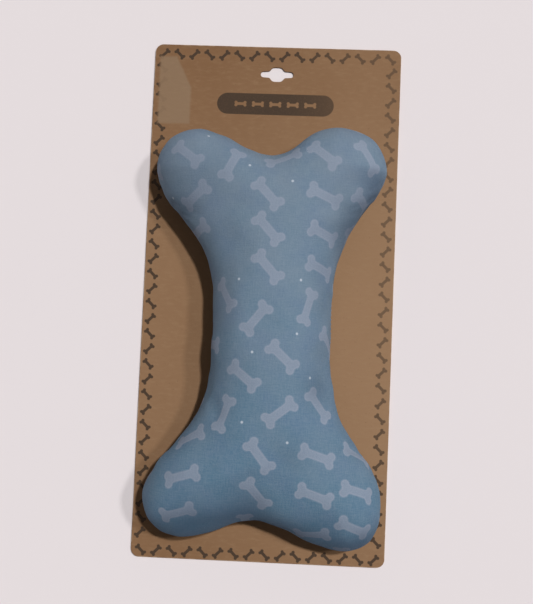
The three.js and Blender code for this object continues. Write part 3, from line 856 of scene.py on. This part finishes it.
def seen_bones(cloth):
    """Middles and axes of the bones that the photograph shows."""
    bones = []
    for x, y, degrees in PRINT_BONES:
        point = cloth.seen_at(x, y)
        bones.append((point, cloth.seen_axes(point, degrees)))
    for x, y, degrees in PRINT_BONE_ENDS:
        point = cloth.seen_at(x, y)
        turn = math.radians(degrees) + CAMERA_ROLL
        axes = cloth.axes(point, np.array((math.cos(turn), math.sin(turn), 0)))
        bones.append((point + PRINT_BONE["knob_at"][0] * axes[0], axes))
    return bones


def more_bones(cloth, bones, draw):
    """Bones for the cloth that the photograph doesn't show, as far apart as the others."""
    found = list(bones)
    for _ in range(PRINT_TRIES):
        point = cloth.points[draw.randrange(len(cloth.points))]
        if all(np.linalg.norm(point - other) > PRINT_SPACING for other, _ in found):
            turn = draw.uniform(-math.pi, math.pi)
            found.append((point, cloth.axes(point, np.array((math.cos(turn), math.sin(turn), 0.1)))))
    return found


def paint(piece, cloth, bones, dots):
    """Stores, on each face, where it lies from its nearest printed bone and dot, in millimetres."""
    mesh = piece.data
    corners = np.zeros(len(mesh.loops), np.int32)
    mesh.loops.foreach_get("vertex_index", corners)
    first = np.zeros(len(mesh.polygons), np.int32)
    mesh.polygons.foreach_get("loop_start", first)
    sizes = np.diff(np.append(first, len(corners)))
    places = cloth.points[corners]
    middles = np.add.reduceat(places, first, axis=0) / sizes[:, None]

    origins = np.array([origin for origin, _ in bones])
    axes = np.array([own for _, own in bones])
    gaps = np.zeros((len(bones), len(middles)))
    for i in range(len(bones)):
        along, across, out = ((middles - origins[i]) @ axes[i].T).T
        gaps[i] = np.hypot(np.maximum(np.abs(along) - PRINT_BONE["reach"], 0), across)
        gaps[i][np.abs(out) > PRINT_DEPTH] += PRINT_FAR
    nearest = np.repeat(np.argmin(gaps, axis=0), sizes)
    bone_place = np.einsum("nij,nj->ni", axes[nearest], places - origins[nearest])
    bone_place[:, 0] += np.where(np.repeat(gaps.min(axis=0), sizes) > PRINT_FAR, PRINT_FAR, 0)
    dots = np.array(dots)
    away = np.linalg.norm(middles[:, None] - dots[None], axis=2)
    dot_place = places - dots[np.repeat(np.argmin(away, axis=1), sizes)]
    for name, place in (("bone_place", bone_place), ("dot_place", dot_place)):
        stored = mesh.attributes.new(name, "FLOAT_VECTOR", "CORNER")
        stored.data.foreach_set("vector", place.ravel())


# Pieces


def add_cover(plush):
    points, laid, faces = bone_mesh()
    points = relaxed(points, faces[1] + faces[-1])
    points = stuffed(points, faces)
    front = cover_piece("front_cover", points, laid, faces[1], PAINTED_SHADE_AND_LIGHT_PATCHES)
    back = cover_piece("back_cover", points, laid, faces[-1])
    draw = random.Random(PRINT_SEED)
    cloth = Cloth(front)
    dots = [cloth.seen_at(x, y) for x, y in PRINT_DOTS]
    paint(front, cloth, more_bones(cloth, seen_bones(cloth), draw), dots)
    cloth = Cloth(back)
    paint(back, cloth, more_bones(cloth, [], draw), draw.sample(list(cloth.points), BACK_DOTS))
    for piece, node, body in ((front, "front_panel", FRONT_BODY), (back, "back_panel", BACK_BODY)):
        piece.data.materials.append(plush)
        wall = piece.modifiers.new("cloth_thickness", "SOLIDIFY")
        wall.thickness = CLOTH_THICKNESS * MM
        wall.offset = -1
        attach(piece, body)
        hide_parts(node)
    squash_back(back)


def squash_back(piece):
    """Gives a back piece a mesh of its own."""
    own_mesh(piece)


def add_filling(fibre):
    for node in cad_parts:
        if "_filling_" not in node:
            continue
        wad = bpy.data.objects.new(node.replace("filling", "fibre"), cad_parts[node].data.copy())
        bpy.context.scene.collection.objects.link(wad)
        wad.data.materials.clear()
        remesh = wad.modifiers.new("even", "REMESH")
        remesh.mode = "VOXEL"
        remesh.voxel_size = FILLING_GRAIN * MM
        rounded = wad.modifiers.new("round", "SMOOTH")
        rounded.factor = 0.5
        rounded.iterations = FILLING_ROUNDING
        bake_modifiers(wad)
        points = mesh_points(wad.data)
        normals = np.array([v.normal for v in wad.data.vertices])
        depth = [FILLING_INSET + FILLING_TUFTS * noise.noise(Vector(p) / FILLING_TUFT_LENGTH) for p in points]
        set_points(wad.data, points - normals * np.array(depth)[:, None])
        wad.data.shade_smooth()
        wad.data.materials.append(fibre)
        front = node.startswith("front")
        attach(wad, FRONT_BODY if front else BACK_BODY)
        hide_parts(node)
        if not front:
            squash_back(wad)


def drum_profile(radius, half_height):
    """Half of a drum with rounded faces, from the middle of its underside up to the whistle's hole."""
    found = [(0.0, -half_height)]
    for k in range(1, BULB_STEPS):
        turn = -math.pi / 2 + math.pi * k / BULB_STEPS
        across, up = math.cos(turn), math.sin(turn)
        r = radius * across**BULB_ROUNDNESS
        z = half_height * math.copysign(abs(up) ** BULB_ROUNDNESS, up)
        if z <= 0 or r > BULB_HOLE_RADIUS + BULB_WALL:
            found.append((r, z))
    return [*found, (BULB_HOLE_RADIUS, half_height)]


def add_bulb(vinyl):
    """The thin-walled squeaker, with the weld line of its two halves."""
    outer = drum_profile(BULB_DIAMETER / 2, BULB_HEIGHT / 2)
    outer = [(r + BULB_WELD * math.exp(-((z / BULB_WELD_WIDTH) ** 2)), z) for r, z in outer]
    outer[0] = (0.0, -BULB_HEIGHT / 2)
    inner = drum_profile(BULB_DIAMETER / 2 - BULB_WALL, BULB_HEIGHT / 2 - BULB_WALL)
    profile = outer + inner[::-1]
    around = BULB_SIDES
    middle = SEAM_HEIGHT + BULB_ABOVE_SEAM
    points, rings, faces = [], [], []
    for r, z in profile:
        spread = 1 if r == 0 else around
        rings.append([len(points) + (i % spread) for i in range(around)])
        for i in range(spread):
            turn = 2 * math.pi * i / around
            points.append((r * math.cos(turn), r * math.sin(turn) - TOY_BELOW_CARD_CENTRE, middle + z))
    for low, high in zip(rings, rings[1:]):
        for i in range(around):
            j = (i + 1) % around
            face = list(dict.fromkeys((low[i], low[j], high[j], high[i])))
            faces.append(face)
    bulb = new_object("squeaker_drum", points, faces)
    bulb.data.materials.append(vinyl)
    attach(bulb, BACK_BODY)
    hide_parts("squeaker_bulb")
    low = middle - BULB_HEIGHT / 2
    sunk = SQUEEZE * (low - CARD_FACE) / (SEAM_HEIGHT - CARD_FACE)
    give = (SQUEEZE - sunk) / BULB_HEIGHT
    (low - sunk / give) * MM
    1 - give
    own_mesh(bulb)


def tube(path, radius, sides=8):
    """Points and faces of a round thread along a path, closed at its ends."""
    path = [Vector(point) for point in path]
    points, faces = [], []
    for k, at in enumerate(path):
        ahead = (path[min(k + 1, len(path) - 1)] - path[max(k - 1, 0)]).normalized()
        side = ahead.cross(Vector((0, 1, 0.3))).normalized()
        up = side.cross(ahead)
        for s in range(sides):
            turn = 2 * math.pi * s / sides
            points.append(at + radius * (math.cos(turn) * side + math.sin(turn) * up))
    for k in range(len(path) - 1):
        for s in range(sides):
            a, b = k * sides + s, k * sides + (s + 1) % sides
            faces.append((a, b, b + sides, a + sides))
    last = (len(path) - 1) * sides
    faces.append(tuple(range(sides))[::-1])
    faces.append(tuple(last + s for s in range(sides)))
    return points, faces


def add_closing_stitches(thread):
    """Slanted hand stitches across the seam at the right waist, where the bone was filled."""
    order = np.argsort(SEAM[:, 1])
    right = [i for i in order if SEAM[i, 0] > 0 and abs(SEAM[i, 1]) < SPINE_FORK[-1]]
    points, faces = [], []
    for k in range(CLOSING_STITCHES):
        y = CLOSING_LENGTH * ((k + 0.5) / CLOSING_STITCHES - 0.5)
        edge = np.interp(y, SEAM[right, 1], SEAM[right, 0]) - SEAM_GROOVE
        path = []
        for t in np.linspace(-1, 1, 9):
            bulge = STITCH_RADIUS * (1 - t * t) - STITCH_RADIUS * 2 * t**6 - 0.3
            place = (edge + bulge, y + 0.5 * t - TOY_BELOW_CARD_CENTRE, SEAM_HEIGHT + STITCH_REACH * t)
            path.append(place)
        more, sides = tube(path, STITCH_RADIUS)
        faces.extend(tuple(c + len(points) for c in face) for face in sides)
        points.extend(more)
    stitches = new_object("closing_stitches", points, faces)
    stitches.data.materials.append(thread)
    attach(stitches, FRONT_BODY)
    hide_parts("closing_thread")


def dress(material, *names):
    for name in names:
        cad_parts[name].data.materials.clear()
        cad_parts[name].data.materials.append(material)


# Stage


def add_stage():
    half = FLOOR_HALF * MM
    mesh = bpy.data.meshes.new("floor")
    corners = [(x * half, y * half, -FLOOR_DROP * MM) for x, y in ((-1, -1), (1, -1), (1, 1), (-1, 1))]
    mesh.from_pydata(corners, [], [(0, 1, 2, 3)])
    floor = bpy.data.objects.new("floor", mesh)
    bpy.context.scene.collection.objects.link(floor)
    surface = Surface("pale_floor", BACKDROP, 0.9)
    surface.feed("Roughness", surface.noise(40) * 0.1 + 0.85)
    mesh.materials.append(surface.material)


def add_lamp(name, towards, level, width):
    """A lamp far away in a direction. A level surface under it gets the given share of plain light."""
    towards = Vector(towards).normalized()
    sun = bpy.data.lights.new(name, "SUN")
    sun.energy = level * math.pi / towards.z
    sun.angle = math.radians(width)
    lamp = bpy.data.objects.new(name, sun)
    lamp.rotation_euler = towards.to_track_quat("Z", "Y").to_euler()
    bpy.context.scene.collection.objects.link(lamp)


def add_light():
    add_lamp("key", **KEY_LAMP)
    add_lamp("side", **SIDE_LAMP)
    world = bpy.data.worlds.new("studio")
    world.use_nodes = True
    tree = world.node_tree
    light = tree.nodes["Background"]
    light.inputs["Color"].default_value = (1, 0.98, 0.97, 1)
    light.inputs["Strength"].default_value = FILL_LEVEL
    seen = tree.nodes.new("ShaderNodeBackground")
    seen.inputs["Color"].default_value = (*BACKDROP, 1)
    path = tree.nodes.new("ShaderNodeLightPath")
    direct = Field(tree, path.outputs["Is Camera Ray"])
    through = Field(tree, path.outputs["Is Transmission Ray"])
    mirrored = Field(tree, path.outputs["Is Glossy Ray"]).most(through)
    mixed = tree.nodes.new("ShaderNodeMixShader")
    tree.links.new(direct.most(mirrored).socket, mixed.inputs["Fac"])
    tree.links.new(light.outputs["Background"], mixed.inputs[1])
    tree.links.new(seen.outputs["Background"], mixed.inputs[2])
    tree.links.new(mixed.outputs["Shader"], tree.nodes["World Output"].inputs["Surface"])
    bpy.context.scene.world = world


def add_camera():
    place, right, up, back = camera_axes()
    lens = bpy.data.cameras.new("camera")
    lens.sensor_fit = "VERTICAL"
    lens.angle = CAMERA_FIELD
    camera = bpy.data.objects.new("camera", lens)
    turn = Matrix(np.column_stack([right, up, back]).tolist()).to_4x4()
    camera.matrix_world = Matrix.Translation(Vector(place) * MM) @ turn
    bpy.context.scene.collection.objects.link(camera)
    bpy.context.scene.camera = camera


add_camera()
add_stage()
add_light()
add_cover(plush_material())
add_filling(fibre_material())
dress(card_material(), "backing_card")
thread = thread_material()
dress(thread, "seam_thread")
add_closing_stitches(thread)
add_bulb(plastic_material("squeaker_vinyl", (0.78, 0.76, 0.69), (0.86, 0.84, 0.78), 0.45, 0.2))
whistle = plastic_material("whistle_plastic", (0.82, 0.82, 0.79), (0.9, 0.9, 0.87), 0.4, 0.0)
dress(whistle, "whistle_body", "reed_seat", "reed_wedge")
dress(plastic_material("reed_film", (0.62, 0.57, 0.42), (0.7, 0.65, 0.5), 0.3, 0.3), "reed")
staples = [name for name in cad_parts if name.startswith("card_staple")]
dress(plastic_material("staple_nylon", (0.7, 0.7, 0.67), (0.8, 0.8, 0.77), 0.35, 0.4), *staples)

bpy.context.scene.view_settings.view_transform = "Standard"
